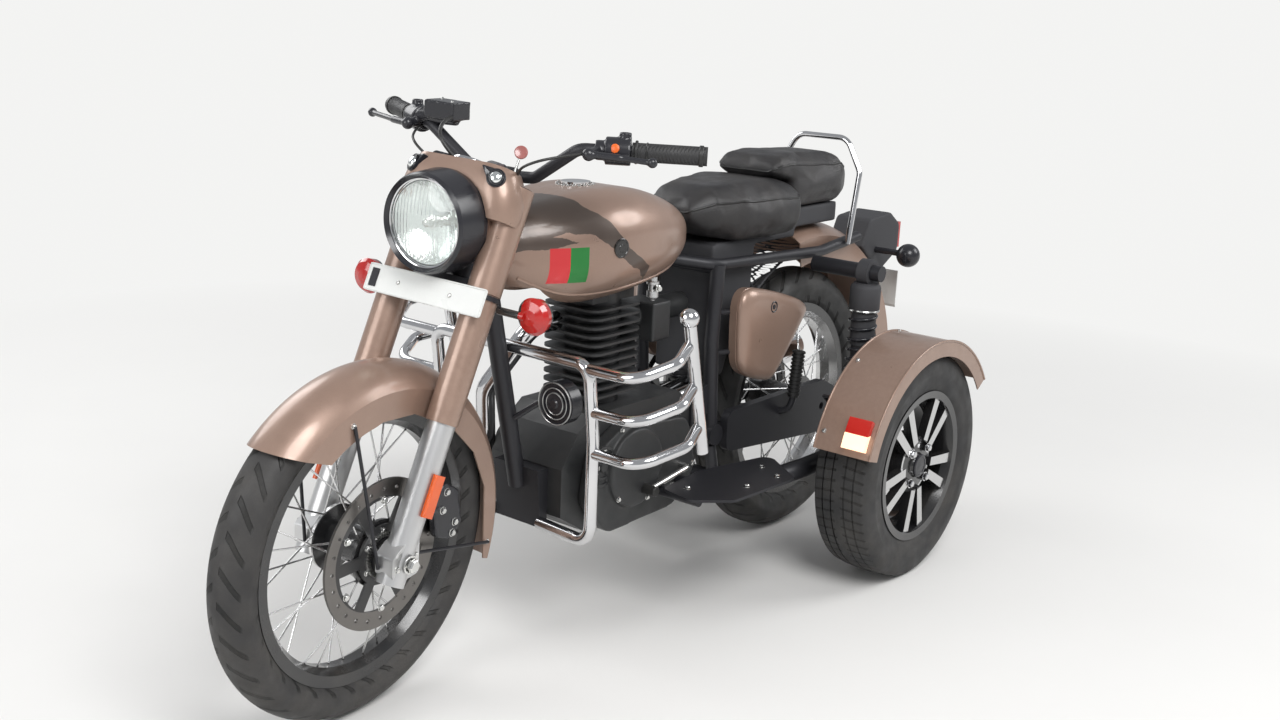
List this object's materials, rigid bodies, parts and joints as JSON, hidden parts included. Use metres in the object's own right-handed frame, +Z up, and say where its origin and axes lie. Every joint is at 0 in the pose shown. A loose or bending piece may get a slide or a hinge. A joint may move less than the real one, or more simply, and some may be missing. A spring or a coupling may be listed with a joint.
{
  "type": "motorcycle with side wheels",
  "caption": "Classic roadster motorcycle with spoked wheels, a separate pillion seat, a crash guard and an outrigger wheel on each side for balance.",
  "frame": {"origin": "on the ground under the middle of the overall length, in the machine's middle plane", "axes": "+X forward, +Y to the machine's left, +Z up"},
  "size_m": [2.1562, 0.92, 1.0799],
  "materials": {
    "tyre_rubber": "matt black tread",
    "paint": "satin sand bronze metallic",
    "spoked_rim": "black rim and hub, bright spokes",
    "disc_steel": "ground",
    "alloy_black": "gloss black with machined spoke faces",
    "bare_alloy": "satin",
    "axle_steel": "plated",
    "black_enamel": "satin black",
    "gloss_black": "gloss black",
    "lens": "clear fluted glass",
    "grip_rubber": "ribbed",
    "plate_white": "plain, without text",
    "indicator_red": "red lens in a black shell",
    "reflector_orange": "orange lens",
    "chrome_tube": "bright",
    "seat_vinyl": "black grained vinyl with piping",
    "black_plastic": "satin black",
    "lamp_white": "lit white and orange lens over a red lens"
  },
  "bodies": {
    "chassis": {"frame": "black_enamel", "crankcase": "black_enamel", "engine_covers": "black_enamel", "cylinder": "black_enamel", "exhaust": "chrome_tube", "carburettor": "gloss_black", "horn": "gloss_black", "tank": "paint", "fuel_cap": "chrome_tube", "rider_seat": "seat_vinyl", "pillion_seat": "seat_vinyl", "seat_base": "black_plastic", "side_panels": "paint", "rear_mudguard": "paint", "tail_lamp": "black_plastic", "tail_lens": "indicator_red", "rear_plate": "plate_white", "rear_indicators": "indicator_red", "grab_hoop": "chrome_tube", "crash_guard": "chrome_tube", "swing_arm": "black_enamel", "rear_axle": "axle_steel", "footboards": "black_plastic", "side_carrier": "black_enamel", "side_shocks": "black_plastic", "side_mudguards": "paint", "side_lamps": "lamp_white"},
    "steering": {"front_axle": "axle_steel", "fork_legs": "bare_alloy", "fork_shrouds": "paint", "yokes": "black_enamel", "nacelle": "paint", "headlamp_rim": "gloss_black", "headlamp_lens": "lens", "handlebar": "black_enamel", "grips": "grip_rubber", "controls": "gloss_black", "front_plate": "plate_white", "front_brackets": "black_enamel", "front_indicators": "indicator_red", "front_caliper": "gloss_black", "fork_reflectors": "reflector_orange", "front_mudguard": "paint"},
    "front_wheel_set": {"front_tyre": "tyre_rubber", "front_wheel": "spoked_rim", "front_disc": "disc_steel"},
    "rear_wheel_set": {"rear_tyre": "tyre_rubber", "rear_wheel": "spoked_rim", "rear_disc": "disc_steel"},
    "left_wheel_set": {"side_tyre_left": "tyre_rubber", "side_wheel_left": "alloy_black"},
    "right_wheel_set": {"side_tyre_right": "tyre_rubber", "side_wheel_right": "alloy_black"}
  },
  "joints": [
    {"name": "steering_turn", "type": "hinge", "parent": "chassis", "child": "steering", "pos_m": [0.46919, 0, 0.84], "axis": [-0.4147, 0, 0.91], "range_deg": [-42, 28]},
    {"name": "front_wheel_spin", "type": "hinge", "parent": "steering", "child": "front_wheel_set", "pos_m": [0.75668, 0.00574, 0.32185], "axis": [-0.1109, 0.9925, -0.0505], "continuous": true},
    {"name": "rear_wheel_spin", "type": "hinge", "parent": "chassis", "child": "rear_wheel_set", "pos_m": [-0.613, 0, 0.328], "axis": [0, 1, 0], "continuous": true},
    {"name": "left_wheel_spin", "type": "hinge", "parent": "chassis", "child": "left_wheel_set", "pos_m": [-0.543, 0.377, 0.266], "axis": [0, 1, 0], "continuous": true},
    {"name": "right_wheel_spin", "type": "hinge", "parent": "chassis", "child": "right_wheel_set", "pos_m": [-0.543, -0.377, 0.266], "axis": [0, 1, 0], "continuous": true}
  ]
}
